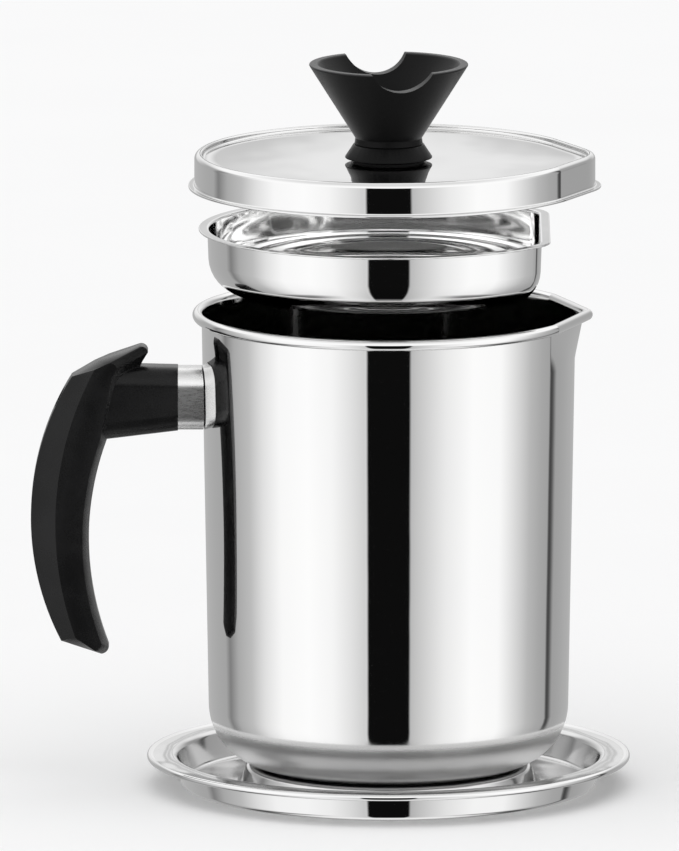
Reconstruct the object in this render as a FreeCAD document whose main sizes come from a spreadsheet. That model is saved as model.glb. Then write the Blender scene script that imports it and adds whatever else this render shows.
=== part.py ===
import FreeCAD, Part
import math
import os
import Sketcher

# Grease pot: drip tray, pour-spout pot with side handle, hanging strainer and lid with knob.
# Frame: the pot axis is Z, the tray stands on Z = 0, the spout points to +X, the handle to -X.
# The strainer and the lid are placed above the pot, apart from it, as the set is laid out.

Vector = FreeCAD.Vector
Constraint = Sketcher.Constraint

SIZES = [
    # drip tray, pressed from one sheet
    ("tray_sheet", 0.8),
    ("tray_rim_radius", 77.4),
    ("tray_rim_width", 7.8),
    ("tray_wall_slope", 2.6),
    ("tray_height", 10.4),
    ("tray_rim_slope", 0.5),
    ("tray_edge_roll", 1.0),
    ("tray_bend", 1.2),
    ("plateau_radius", 46.0),
    ("plateau_slope", 2.6),
    ("plateau_height", 7.0),
    # pot
    ("pot_radius", 60.6),
    ("pot_height", 147.5),
    ("pot_wall", 0.6),
    ("pot_corner", 20.0),
    ("pot_draft", 1.0),
    ("bead_radius", 1.7),
    ("bead_overlap", 0.45),
    ("spout_half_angle", 30.0),
    ("spout_reach", 2.6),
    ("spout_tip_radius", 5.0),
    ("spout_drop", 14.0),
    ("spout_foot_angle", 5.0),
    # handle
    ("handle_below_rim", 27.2),
    ("saddle_height", 15.0),
    ("saddle_width", 10.0),
    ("saddle_sheet", 1.5),
    ("boss_radius", 4.0),
    ("boss_length", 17.0),
    ("ferrule_length", 8.1),
    ("ferrule_height", 20.2),
    ("ferrule_width", 17.4),
    ("ferrule_corner", 6.0),
    ("ferrule_wall", 1.0),
    ("arm_height", 20.8),
    ("arm_width", 17.8),
    ("arm_corner", 6.2),
    ("arm_length", 24.0),
    ("arm_drop", 2.9),
    ("arm_swell", 0.6),
    ("grip_width", 20.0),
    ("grip_strip", 7.2),
    ("grip_back", 34.4),
    ("grip_back_curve", 88.0),
    ("grip_foot_back", 38.0),
    ("grip_foot_depth", 83.8),
    ("grip_foot_rise", 4.3),
    ("grip_foot_taper", 2.0),
    ("grip_toe_back", 25.0),
    ("grip_toe_rise", 2.4),
    ("grip_toe_round", 2.6),
    ("grip_foot_gap", 22.5),
    ("grip_palm_gap", 23.1),
    ("grip_palm_curve", 97.0),
    ("palm_inset", 2.4),
    ("ridge_top_inset", 7.4),
    ("ridge_foot_inset", 4.7),
    ("ridge_curve", 109.0),
    ("thumb_waist", 11.4),
    ("thumb_waist_rise", 2.2),
    ("thumb_tip", 9.7),
    ("thumb_tip_rise", 4.9),
    ("thumb_round", 2.2),
    ("thumb_crest", 12.4),
    ("thumb_rise", 6.8),
    ("thumb_end_rise", 7.4),
    ("thumb_taper", 10.0),
    # handle screw
    ("grip_screw_radius", 1.5),
    ("screw_head_radius", 2.7),
    ("screw_head_height", 2.2),
    ("screw_bury", 4.4),
    ("screw_engage", 9.0),
    ("lock_washer_radius", 3.0),
    ("lock_washer_sheet", 0.9),
    # strainer
    ("strainer_radius", 58.7),
    ("strainer_depth", 20.6),
    ("strainer_sheet", 0.6),
    ("strainer_chord", 49.4),
    ("strainer_corner", 13.0),
    ("strainer_bend", 11.0),
    ("strainer_draft", 2.0),
    ("flange_width", 2.8),
    ("mesh_radius", 35.2),
    ("mesh_sheet", 0.5),
    ("mesh_seat", 1.8),
    ("ring_radius", 36.4),
    ("ring_height", 3.0),
    ("ring_wall", 0.7),
    # lid
    ("lid_radius", 62.9),
    ("lid_height", 10.9),
    ("lid_sheet", 0.6),
    ("lid_shoulder", 3.0),
    ("lid_dish", 2.6),
    ("lid_rim_width", 4.6),
    ("lid_rim_round", 1.2),
    ("lid_flange", 1.9),
    ("lid_nose_reach", 4.0),
    ("lid_nose_half_angle", 28.0),
    ("lid_nose_radius", 24.0),
    # knob
    ("seal_radius", 11.6),
    ("seal_sheet", 0.5),
    ("collar_foot_radius", 12.0),
    ("collar_radius", 14.1),
    ("collar_undercut", 0.7),
    ("collar_lip", 0.3),
    ("collar_neck_radius", 11.4),
    ("collar_height", 5.1),
    ("knob_skirt_radius", 11.1),
    ("knob_skirt", 2.1),
    ("knob_waist_radius", 10.8),
    ("knob_radius", 26.9),
    ("knob_height", 26.3),
    ("knob_wall", 3.0),
    ("knob_rim_round", 1.2),
    ("knob_floor", 11.0),
    ("knob_floor_radius", 9.0),
    ("notch_radius", 11.0),
    ("notch_depth", 6.3),
    ("notch_turn", 11.0),
    ("screw_radius", 2.0),
    ("insert_radius", 3.8),
    ("insert_length", 7.4),
    ("knob_screw_head_radius", 3.6),
    ("knob_screw_head_height", 2.2),
    ("washer_radius", 7.0),
    ("washer_sheet", 1.0),
    # how far apart the set is laid out, and the gaps between fitted faces
    ("strainer_apart", 26.3),
    ("lid_apart", 40.4),
    ("fit_gap", 0.3),
    ("thread_gap", 0.3),
]

os.makedirs("parts", exist_ok=True)
doc = FreeCAD.newDocument("GreasePot")
sheet = doc.addObject("Spreadsheet::Sheet", "Size")


def fill_sheet():
    """Write each size with its alias, one per row."""
    for row, (alias, value) in enumerate(SIZES, start=1):
        sheet.set("A%d" % row, alias)
        sheet.set("B%d" % row, str(value))
        sheet.setAlias("B%d" % row, alias)
    doc.recompute()


def number(expression):
    """The present value of an expression in millimetres or plain numbers."""
    found = sheet.evalExpression(expression)
    return float(getattr(found, "Value", found))


def size(text):
    """Turn plain size names into sheet references."""
    out = text
    for alias in sorted((name for name, _ in SIZES), key=len, reverse=True):
        out = replace_word(out, alias, "Size." + alias)
    return out


def replace_word(text, word, new):
    parts = text.split(word)
    out = parts[0]
    for before, after in zip(parts, parts[1:]):
        inside = before[-1:].isalnum() or before[-1:] in ("_", ".")
        inside = inside or after[:1].isalnum() or after[:1] == "_"
        out += (word if inside else new) + after
    return out


# Heights and radii that several pieces share, built up from the sizes.
POT_BASE = "plateau_height"
POT_TOP = "(plateau_height + pot_height)"
SPOUT_LOW = "(plateau_height + pot_height - spout_drop)"
BEAD_PATH = "(pot_radius + bead_radius - bead_overlap)"
BEAD_TOP = "(plateau_height + pot_height + bead_radius)"
ARM_AXIS = "(plateau_height + pot_height - handle_below_rim)"
FLANGE_Z = "(plateau_height + pot_height + bead_radius + strainer_apart)"
BASIN_FLOOR = "(plateau_height + pot_height + bead_radius + strainer_apart"
BASIN_FLOOR += " + strainer_sheet - strainer_depth)"
BASIN_INSIDE = "(" + BASIN_FLOOR + " + strainer_sheet)"
LID_Z = "(plateau_height + pot_height + bead_radius + lid_apart)"
LID_TOP = "(" + LID_Z + " + lid_height - lid_dish)"
LID_UNDER = "(" + LID_TOP + " - lid_sheet)"
COLLAR_Z = "(" + LID_TOP + " + seal_sheet)"
KNOB_Z = "(" + COLLAR_Z + " + collar_height)"
KNOB_TOP = "(" + KNOB_Z + " + knob_height)"


def wall_at(height):
    """Outer radius of the drafted pot wall at a height."""
    return "(pot_radius - (" + POT_TOP + " - " + height + ") * tan(pot_draft * 1deg))"


GRIP_FACE = "(" + wall_at(ARM_AXIS) + " + ferrule_length)"


def make_body(label):
    body = doc.addObject("PartDesign::Body", label)
    body.Label = label
    return body


def make_sketch(body, name, role, offset=None):
    """A sketch on one of the body's own origin planes, moved along its normal if asked."""
    plane = next(item for item in body.Origin.OriginFeatures if item.Role == role)
    sketch = body.newObject("Sketcher::SketchObject", name)
    sketch.AttachmentSupport = (plane, [""])
    sketch.MapMode = "FlatFace"
    if offset is not None:
        sketch.setExpression("AttachmentOffset.Base.z", size(offset))
    return sketch


def drive(sketch, constraint, expression):
    """Add a constraint and bind its value to the sheet."""
    index = sketch.addConstraint(constraint)
    sketch.setExpression("Constraints[%d]" % index, size(expression))


def pin(sketch, geometry, end, across, up):
    """Fix a point of a sketch by its two coordinates."""
    x = number(size(across))
    y = number(size(up))
    drive(sketch, Constraint("DistanceX", -1, 1, geometry, end, x), across)
    drive(sketch, Constraint("DistanceY", -1, 1, geometry, end, y), up)


def arc_between(start, finish, radius, side):
    """Arc from start to finish; side 1 has its centre on the left of the way, -1 on the right."""
    chord = finish - start
    half = chord.Length / 2
    lift = math.sqrt(max(radius * radius - half * half, 0.0))
    left = Vector(-chord.y, chord.x, 0).normalize()
    centre = (start + finish) * 0.5 + left * (side * lift)
    first, last = (start, finish) if side > 0 else (finish, start)
    begin = math.atan2(first.y - centre.y, first.x - centre.x)
    stop = math.atan2(last.y - centre.y, last.x - centre.x)
    return Part.ArcOfCircle(Part.Circle(centre, Vector(0, 0, 1), radius), begin, stop)


def outline(sketch, corners):
    """Closed outline; each corner is (across, up) or (across, up, radius, side) of the next arc."""
    spots = [Vector(number(size(c[0])), number(size(c[1])), 0) for c in corners]
    ends = []
    for index, corner in enumerate(corners):
        here = spots[index]
        there = spots[(index + 1) % len(corners)]
        if len(corner) == 2:
            added = sketch.addGeometry(Part.LineSegment(here, there))
            ends.append((added, 1, 2))
            continue
        radius = number(size(corner[2]))
        added = sketch.addGeometry(arc_between(here, there, radius, corner[3]))
        drive(sketch, Constraint("Radius", added, radius), corner[2])
        ends.append((added, 1, 2) if corner[3] > 0 else (added, 2, 1))
    for index, (piece, first, last) in enumerate(ends):
        follower = ends[(index + 1) % len(ends)]
        sketch.addConstraint(Constraint("Coincident", piece, last, follower[0], follower[1]))
        pin(sketch, piece, first, corners[index][0], corners[index][1])


def circle(sketch, across, up, radius):
    """A full circle fixed by its centre and radius."""
    centre = Vector(number(size(across)), number(size(up)), 0)
    value = number(size(radius))
    added = sketch.addGeometry(Part.Circle(centre, Vector(0, 0, 1), value))
    drive(sketch, Constraint("Radius", added, value), radius)
    pin(sketch, added, 3, across, up)


def nose_outline(sketch, radius, half_angle, reach, tip_radius):
    """A circle drawn out to a rounded nose on +X by two straight flanks."""
    big = number(size(radius))
    angle = math.radians(number(size(half_angle)))
    small = number(size(tip_radius))
    centre = Vector(number(size(reach)) - small, 0, 0)
    foot = Vector(big * math.cos(angle), big * math.sin(angle), 0)
    away = foot - centre
    turn = math.atan2(away.y, away.x) - math.acos(small / away.Length)
    touch = centre + Vector(small * math.cos(turn), small * math.sin(turn), 0)
    up = Vector(0, 0, 1)
    round_back = Part.ArcOfCircle(Part.Circle(Vector(), up, big), angle, 2 * math.pi - angle)
    back = sketch.addGeometry(round_back)
    near = Part.LineSegment(Vector(foot.x, -foot.y, 0), Vector(touch.x, -touch.y, 0))
    near = sketch.addGeometry(near)
    tip = sketch.addGeometry(Part.ArcOfCircle(Part.Circle(centre, up, small), -turn, turn))
    far = sketch.addGeometry(Part.LineSegment(touch, foot))
    sketch.addConstraint(Constraint("Coincident", back, 3, -1, 1))
    sketch.addConstraint(Constraint("Coincident", back, 2, near, 1))
    sketch.addConstraint(Constraint("Tangent", near, 2, tip, 1))
    sketch.addConstraint(Constraint("Tangent", tip, 2, far, 1))
    sketch.addConstraint(Constraint("Coincident", far, 2, back, 1))
    sketch.addConstraint(Constraint("PointOnObject", tip, 3, -1))
    sketch.addConstraint(Constraint("Symmetric", back, 1, back, 2, -1))
    drive(sketch, Constraint("Radius", back, big), radius)
    across = "(" + radius + ") * cos((" + half_angle + ") * 1deg)"
    drive(sketch, Constraint("DistanceX", -1, 1, back, 1, foot.x), across)
    drive(sketch, Constraint("Radius", tip, small), tip_radius)
    middle = "(" + reach + ") - (" + tip_radius + ")"
    drive(sketch, Constraint("DistanceX", -1, 1, tip, 3, centre.x), middle)


def parted_circle(sketch, radius, half_angle, tip_angle):
    """A plain circle in four arcs that pair with the four edges of a nose outline."""
    big = number(size(radius))
    wide = math.radians(number(size(half_angle)))
    small = math.radians(number(size(tip_angle)))
    round_all = Part.Circle(Vector(), Vector(0, 0, 1), big)
    spans = ((wide, 2 * math.pi - wide), (-wide, -small), (-small, small), (small, wide))
    arcs = [sketch.addGeometry(Part.ArcOfCircle(round_all, a, b)) for a, b in spans]
    for arc in arcs[:3]:
        sketch.addConstraint(Constraint("Coincident", arc, 3, -1, 1))
    for index, arc in enumerate(arcs):
        sketch.addConstraint(Constraint("Coincident", arc, 2, arcs[(index + 1) % 4], 1))
    for arc in (arcs[0], arcs[2]):
        sketch.addConstraint(Constraint("Symmetric", arc, 1, arc, 2, -1))
    sketch.addConstraint(Constraint("Equal", arcs[3], arcs[0]))
    drive(sketch, Constraint("Radius", arcs[0], big), radius)
    for arc, angle in ((arcs[0], half_angle), (arcs[2], tip_angle)):
        across = "(" + radius + ") * cos((" + angle + ") * 1deg)"
        drive(sketch, Constraint("DistanceX", -1, 1, arc, 1, number(size(across))), across)


def chord_outline(sketch, radius, chord, corner):
    """A circle cut straight on its +X side, with rounded corners."""
    big = number(size(radius))
    cut = number(size(chord))
    small = number(size(corner))
    middle_x = cut - small
    middle_y = math.sqrt((big - small) ** 2 - middle_x ** 2)
    turn = math.atan2(middle_y, middle_x)
    up = Vector(0, 0, 1)
    high = Vector(middle_x, middle_y, 0)
    low = Vector(middle_x, -middle_y, 0)
    back_arc = Part.ArcOfCircle(Part.Circle(Vector(), up, big), turn, 2 * math.pi - turn)
    back = sketch.addGeometry(back_arc)
    near = sketch.addGeometry(Part.ArcOfCircle(Part.Circle(low, up, small), -turn, 0))
    side = sketch.addGeometry(Part.LineSegment(Vector(cut, -middle_y, 0), Vector(cut, middle_y, 0)))
    far = sketch.addGeometry(Part.ArcOfCircle(Part.Circle(high, up, small), 0, turn))
    sketch.addConstraint(Constraint("Coincident", back, 3, -1, 1))
    sketch.addConstraint(Constraint("Tangent", back, 2, near, 1))
    sketch.addConstraint(Constraint("Tangent", near, 2, side, 1))
    sketch.addConstraint(Constraint("Tangent", side, 2, far, 1))
    sketch.addConstraint(Constraint("Tangent", far, 2, back, 1))
    sketch.addConstraint(Constraint("Symmetric", side, 1, side, 2, -1))
    drive(sketch, Constraint("Radius", back, big), radius)
    drive(sketch, Constraint("Radius", near, small), corner)
    drive(sketch, Constraint("DistanceX", -1, 1, side, 1, cut), chord)


def slot_outline(sketch, height, width, corner, across, up):
    """A rounded rectangle, taller along the sketch's second axis."""
    right = number(size(across + " + (" + width + ") / 2"))
    left = number(size(across + " - (" + width + ") / 2"))
    top = number(size(up + " + (" + height + ") / 2"))
    low = number(size(up + " - (" + height + ") / 2"))
    r = number(size(corner))
    z = Vector(0, 0, 1)
    quarter = math.pi / 2
    hubs = [(right - r, top - r), (left + r, top - r), (left + r, low + r), (right - r, low + r)]
    arcs = []
    for index, (x, y) in enumerate(hubs):
        around = Part.Circle(Vector(x, y, 0), z, r)
        span = Part.ArcOfCircle(around, index * quarter, (index + 1) * quarter)
        arcs.append(sketch.addGeometry(span))
    runs = [((right - r, top), (left + r, top)), ((left, top - r), (left, low + r)),
            ((left + r, low), (right - r, low)), ((right, low + r), (right, top - r))]
    lines = []
    for (x0, y0), (x1, y1) in runs:
        lines.append(sketch.addGeometry(Part.LineSegment(Vector(x0, y0, 0), Vector(x1, y1, 0))))
    for index in range(4):
        sketch.addConstraint(Constraint("Tangent", arcs[index], 2, lines[index], 1))
        sketch.addConstraint(Constraint("Tangent", lines[index], 2, arcs[(index + 1) % 4], 1))
    for index in range(1, 4):
        sketch.addConstraint(Constraint("Equal", arcs[0], arcs[index]))
    sketch.addConstraint(Constraint("Horizontal", lines[0]))
    sketch.addConstraint(Constraint("Vertical", lines[1]))
    drive(sketch, Constraint("Radius", arcs[0], r), corner)
    drive(sketch, Constraint("DistanceY", -1, 1, lines[0], 1, top), up + " + (" + height + ") / 2")
    drive(sketch, Constraint("DistanceY", -1, 1, lines[2], 1, low), up + " - (" + height + ") / 2")
    drive(sketch, Constraint("DistanceX", -1, 1, lines[3], 1, right),
          across + " + (" + width + ") / 2")
    drive(sketch, Constraint("DistanceX", -1, 1, lines[1], 1, left),
          across + " - (" + width + ") / 2")


def cup_outline(sketch, top_radius, top, bottom, corner, draft):
    """Half section of a round cup with a drafted wall and a rounded bottom corner."""
    r = number(size(corner))
    lean = math.radians(number(size(draft)))
    high = number(size(top))
    low = number(size(bottom))
    wide = number(size(top_radius))
    hub_z = low + r
    wall_at_hub = wide - (high - hub_z) * math.tan(lean)
    hub_x = wall_at_hub - r / math.cos(lean)
    meet = Vector(hub_x + r * math.cos(lean), hub_z - r * math.sin(lean), 0)
    foot = Vector(hub_x, low, 0)
    floor = sketch.addGeometry(Part.LineSegment(Vector(0, low, 0), foot))
    around = Part.Circle(Vector(hub_x, hub_z, 0), Vector(0, 0, 1), r)
    bend = sketch.addGeometry(Part.ArcOfCircle(around, -math.pi / 2, -lean))
    wall = sketch.addGeometry(Part.LineSegment(meet, Vector(wide, high, 0)))
    mouth = sketch.addGeometry(Part.LineSegment(Vector(wide, high, 0), Vector(0, high, 0)))
    axis = sketch.addGeometry(Part.LineSegment(Vector(0, high, 0), Vector(0, low, 0)))
    sketch.addConstraint(Constraint("Tangent", floor, 2, bend, 1))
    sketch.addConstraint(Constraint("Tangent", bend, 2, wall, 1))
    sketch.addConstraint(Constraint("Coincident", wall, 2, mouth, 1))
    sketch.addConstraint(Constraint("Coincident", mouth, 2, axis, 1))
    sketch.addConstraint(Constraint("Coincident", axis, 2, floor, 1))
    sketch.addConstraint(Constraint("Horizontal", floor))
    sketch.addConstraint(Constraint("Horizontal", mouth))
    sketch.addConstraint(Constraint("PointOnObject", axis, 1, -2))
    sketch.addConstraint(Constraint("PointOnObject", axis, 2, -2))
    drive(sketch, Constraint("Radius", bend, r), corner)
    drive(sketch, Constraint("DistanceX", -1, 1, wall, 2, wide), top_radius)
    drive(sketch, Constraint("DistanceY", -1, 1, wall, 2, high), top)
    drive(sketch, Constraint("DistanceY", -1, 1, floor, 1, low), bottom)
    drive(sketch, Constraint("Angle", -2, 2, wall, 2, -lean), "-(" + draft + ") * 1deg")


def revolve(body, sketch, kind="PartDesign::Revolution", angle=None):
    feature = body.newObject(kind, sketch.Name + "Turned")
    feature.Profile = sketch
    feature.ReferenceAxis = (sketch, ["V_Axis"])
    if angle is not None:
        feature.Midplane = True
        feature.setExpression("Angle", size(angle))
    sketch.Visibility = False
    doc.recompute()
    return feature


def pad(body, sketch, length, kind="PartDesign::Pad", both=False, back=False):
    feature = body.newObject(kind, sketch.Name + "Pulled")
    feature.Profile = sketch
    if both:
        feature.SideType = "Symmetric"
    feature.Reversed = back
    feature.setExpression("Length", size(length))
    sketch.Visibility = False
    doc.recompute()
    return feature


def loft(body, first, last, kind="PartDesign::AdditiveLoft"):
    feature = body.newObject(kind, first.Name + "Lofted")
    feature.Profile = first
    feature.Sections = [last]
    feature.Ruled = True
    doc.recompute()
    return feature


def edges_where(feature, test):
    """Names of the edges whose own shape passes a test."""
    return ["Edge%d" % (i + 1) for i, edge in enumerate(feature.Shape.Edges) if test(edge)]


def faces_where(feature, test):
    return ["Face%d" % (i + 1) for i, face in enumerate(feature.Shape.Faces) if test(face)]


def round_edges(body, feature, names, radius, kind="PartDesign::Fillet"):
    if not names:
        raise ValueError("no edge was found to round on " + feature.Name)
    rounded = body.newObject(kind, feature.Name + "Rounded")
    rounded.Base = (feature, names)
    field = "Radius" if kind.endswith("Fillet") else "Size"
    rounded.setExpression(field, size(radius))
    doc.recompute()
    return rounded


def ring_edge(edge, radius, height, slack=0.02):
    """True for a full circle about Z with this radius at this height."""
    curve = edge.Curve
    if not isinstance(curve, Part.Circle) or abs(curve.Radius - radius) > slack:
        return False
    return abs(curve.Center.z - height) < slack


def level(edge, height, slack=0.01):
    box = edge.BoundBox
    return abs(box.ZMin - height) < slack and abs(box.ZMax - height) < slack


def make_tray():
    """Pressed tray: raised plateau, round moat, low wall and a wide rim with a rolled edge."""
    body = make_body("drip_tray")
    section = make_sketch(body, "TraySection", "XZ_Plane")
    foot = "plateau_radius + plateau_slope"
    wall = "(tray_rim_radius - tray_rim_width)"
    floor = "(tray_rim_radius - tray_rim_width - tray_wall_slope)"
    under_rim = "tray_height - tray_sheet"
    edge = "tray_height - tray_rim_slope"
    outline(section, [
        ("0", "plateau_height - tray_sheet"),
        ("plateau_radius - tray_sheet", "plateau_height - tray_sheet"),
        (foot + " - tray_sheet", "0"),
        (floor, "0"),
        (wall, under_rim),
        ("tray_rim_radius", edge + " - tray_sheet"),
        ("tray_rim_radius", edge),
        (wall + " - tray_sheet", "tray_height"),
        (floor + " - tray_sheet", "tray_sheet"),
        (foot, "tray_sheet"),
        ("plateau_radius", "plateau_height"),
        ("0", "plateau_height"),
    ])
    solid = revolve(body, section)
    inner = [("plateau_radius - tray_sheet", "plateau_height - tray_sheet"), (foot, "tray_sheet"),
             (floor + " - tray_sheet", "tray_sheet"), (wall, under_rim)]
    outer = [("plateau_radius", "plateau_height"), (foot + " - tray_sheet", "0"),
             (floor, "0"), (wall + " - tray_sheet", "tray_height")]
    for corners, radius in ((inner, "tray_bend"), (outer, "tray_bend + tray_sheet")):
        spots = [(number(size(r)), number(size(z))) for r, z in corners]
        names = edges_where(solid, lambda e: any(ring_edge(e, r, z) for r, z in spots))
        solid = round_edges(body, solid, names, radius)
    roll = make_sketch(body, "TrayRoll", "XZ_Plane")
    circle(roll, "tray_rim_radius", edge + " - tray_sheet / 2", "tray_edge_roll")
    revolve(body, roll)
    return body


def make_pot_shell():
    """Drawn pot: drafted wall, rounded bottom, a pressed pour spout and a rolled bead."""
    body = make_body("pot_shell")
    low_radius = wall_at(SPOUT_LOW)
    reach = "(pot_radius + spout_reach)"
    outside = make_sketch(body, "PotOutside", "XZ_Plane")
    cup_outline(outside, low_radius, SPOUT_LOW, POT_BASE, "pot_corner", "pot_draft")
    revolve(body, outside)
    neck = make_sketch(body, "NeckOutside", "XY_Plane", SPOUT_LOW)
    parted_circle(neck, low_radius, "spout_half_angle", "spout_foot_angle")
    lip = make_sketch(body, "LipOutside", "XY_Plane", POT_TOP)
    nose_outline(lip, "pot_radius", "spout_half_angle", reach, "spout_tip_radius")
    doc.recompute()
    loft(body, neck, lip)
    path = make_sketch(body, "BeadPath", "XY_Plane", POT_TOP)
    nose_outline(path, BEAD_PATH, "spout_half_angle",
                 reach + " + bead_radius - bead_overlap", "spout_tip_radius")
    wire = make_sketch(body, "BeadSection", "XZ_Plane")
    circle(wire, "-" + BEAD_PATH, POT_TOP, "bead_radius")
    doc.recompute()
    bead = body.newObject("PartDesign::AdditivePipe", "Bead")
    bead.Profile = wire
    bead.Spine = (path, [])
    bead.Transition = "Round corner"
    doc.recompute()
    inside = make_sketch(body, "PotInside", "XZ_Plane")
    cup_outline(inside, low_radius + " - pot_wall", SPOUT_LOW, POT_BASE + " + pot_wall",
                "pot_corner - pot_wall", "pot_draft")
    revolve(body, inside, "PartDesign::Groove")
    neck_in = make_sketch(body, "NeckInside", "XY_Plane", SPOUT_LOW)
    parted_circle(neck_in, low_radius + " - pot_wall", "spout_half_angle", "spout_foot_angle")
    lip_in = make_sketch(body, "LipInside", "XY_Plane", POT_TOP)
    nose_outline(lip_in, "pot_radius - pot_wall", "spout_half_angle", reach + " - pot_wall",
                 "spout_tip_radius - pot_wall")
    doc.recompute()
    loft(body, neck_in, lip_in, "PartDesign::SubtractiveLoft")
    return body


def make_saddle():
    """Bracket plate welded to the pot wall, following its cone."""
    body = make_body("handle_saddle")
    plate = make_sketch(body, "SaddleSection", "XZ_Plane")
    low = ARM_AXIS + " - saddle_height / 2"
    high = ARM_AXIS + " + saddle_height / 2"
    corners = []
    for height, out in ((low, "0"), (low, "saddle_sheet"), (high, "saddle_sheet"), (high, "0")):
        corners.append(("-(" + wall_at("(" + height + ")") + " + fit_gap + " + out + ")", height))
    outline(plate, corners)
    revolve(body, plate, angle="2 * asin(saddle_width / 2 / " + wall_at(ARM_AXIS) + ")")
    return body


SADDLE_OUT = "(" + wall_at("(" + ARM_AXIS + " + saddle_height / 2)") + " + fit_gap + saddle_sheet)"
BOSS_FACE = "(" + SADDLE_OUT + " + fit_gap)"
BOSS_END = "(" + BOSS_FACE + " + boss_length)"


def make_boss():
    """Threaded barrel that the handle screw pulls against."""
    body = make_body("handle_boss")
    barrel = make_sketch(body, "BossSection", "YZ_Plane", "-" + BOSS_END)
    circle(barrel, "0", ARM_AXIS, "boss_radius")
    circle(barrel, "0", ARM_AXIS, "grip_screw_radius + thread_gap")
    pad(body, barrel, "boss_length")
    return body


def make_ferrule():
    """Bright sleeve between the pot wall and the grip, scribed to the wall."""
    body = make_body("handle_ferrule")
    outside = make_sketch(body, "FerruleOutside", "YZ_Plane", "-" + GRIP_FACE)
    slot_outline(outside, "ferrule_height", "ferrule_width", "ferrule_corner", "0", ARM_AXIS)
    pad(body, outside, "ferrule_length")
    inside = make_sketch(body, "FerruleInside", "YZ_Plane", "-" + GRIP_FACE)
    slot_outline(inside, "ferrule_height - 2 * ferrule_wall", "ferrule_width - 2 * ferrule_wall",
                 "ferrule_corner - ferrule_wall", "0", ARM_AXIS)
    pad(body, inside, "ferrule_length", "PartDesign::Pocket", back=True)
    scribe = make_sketch(body, "FerruleScribe", "XZ_Plane")
    low = "(" + ARM_AXIS + " - ferrule_height)"
    high = "(" + ARM_AXIS + " + ferrule_height)"
    outline(scribe, [("0", low), (wall_at(low) + " + fit_gap", low),
                     (wall_at(high) + " + fit_gap", high), ("0", high)])
    revolve(body, scribe, "PartDesign::Groove")
    return body


def grip_x(back):
    return "-(" + GRIP_FACE + " + " + back + ")"


def grip_z(up):
    return "(" + ARM_AXIS + " + " + up + ")"


THUMB_SLOPE = "((arm_height / 2 + thumb_rise - thumb_end_rise) / (grip_back - thumb_crest))"


def grip_outline(sketch, curve, top="0", foot="0", taper="0", palm="0", rise="0"):
    """Side outline of the grip: palm side, thumb rest, back and foot, each moved by its inset."""
    thumb = "arm_height / 2 - " + taper + " * " + THUMB_SLOPE
    outline(sketch, [
        (grip_x("grip_palm_gap + " + palm), grip_z("0 - arm_height / 2 - arm_drop")),
        (grip_x("thumb_waist + " + taper), grip_z(thumb + " + thumb_waist_rise")),
        (grip_x("thumb_tip + " + taper), grip_z(thumb + " + thumb_tip_rise"), "thumb_round", 1),
        (grip_x("thumb_crest + " + taper), grip_z(thumb + " + thumb_rise")),
        (grip_x("grip_back - " + top), grip_z("thumb_end_rise + " + top + " * " + THUMB_SLOPE),
         curve, 1),
        (grip_x("grip_foot_back - " + foot), grip_z(rise + " + grip_foot_rise - grip_foot_depth")),
        (grip_x("grip_toe_back + " + rise), grip_z(rise + " - grip_foot_depth"),
         "grip_toe_round", 1),
        (grip_x("grip_foot_gap + " + palm), grip_z(rise + " + grip_toe_rise - grip_foot_depth"),
         "grip_palm_curve", -1),
    ])


def make_grip():
    """Moulded grip: a curved body faceted to a strip along its back, thumb rest and arm."""
    body = make_body("handle_grip")
    side = make_sketch(body, "GripSide", "XZ_Plane")
    grip_outline(side, "grip_back_curve")
    pad(body, side, "grip_strip", both=True)
    for label, sign in (("Near", ""), ("Far", "0 - ")):
        strip = make_sketch(body, "GripStrip" + label, "XZ_Plane", sign + "grip_strip / 2")
        grip_outline(strip, "grip_back_curve")
        broad = make_sketch(body, "GripBroad" + label, "XZ_Plane", sign + "grip_width / 2")
        grip_outline(broad, "ridge_curve", "ridge_top_inset", "ridge_foot_inset", "thumb_taper",
                     "palm_inset", "grip_foot_taper")
        doc.recompute()
        loft(body, strip, broad)
    front = make_sketch(body, "ArmFront", "YZ_Plane", "-" + GRIP_FACE)
    slot_outline(front, "arm_height", "arm_width", "arm_corner", "0", ARM_AXIS)
    rear = make_sketch(body, "ArmRear", "YZ_Plane", "-(" + GRIP_FACE + " + arm_length)")
    slot_outline(rear, "arm_height + arm_drop + arm_swell", "arm_width", "arm_corner", "0",
                 "(" + ARM_AXIS + " + (arm_swell - arm_drop) / 2)")
    doc.recompute()
    loft(body, front, rear)
    return body


def bore(body, name, start, depth, radius, back=False):
    """Drill along X at the arm's axis from a plane X = start."""
    hole = make_sketch(body, name, "YZ_Plane", start)
    circle(hole, "0", ARM_AXIS, radius)
    return pad(body, hole, depth, "PartDesign::Pocket", back=back)


SCREW_SEAT = "(" + GRIP_FACE + " + grip_back - screw_bury)"
HEAD_SEAT = "(" + SCREW_SEAT + " + lock_washer_sheet)"


def drill_grip(body):
    """Clearance bore for the screw, counterbore for its head and a socket for the boss."""
    bore(body, "GripSocket", "-(" + BOSS_END + " + fit_gap)", BOSS_END + " + fit_gap",
         "boss_radius + fit_gap", back=True)
    bore(body, "GripScrewHole", "-" + SCREW_SEAT, SCREW_SEAT + " - " + BOSS_END,
         "grip_screw_radius + fit_gap", back=True)
    bore(body, "GripHeadHole", "-" + SCREW_SEAT, "grip_back", "lock_washer_radius + fit_gap")


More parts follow.
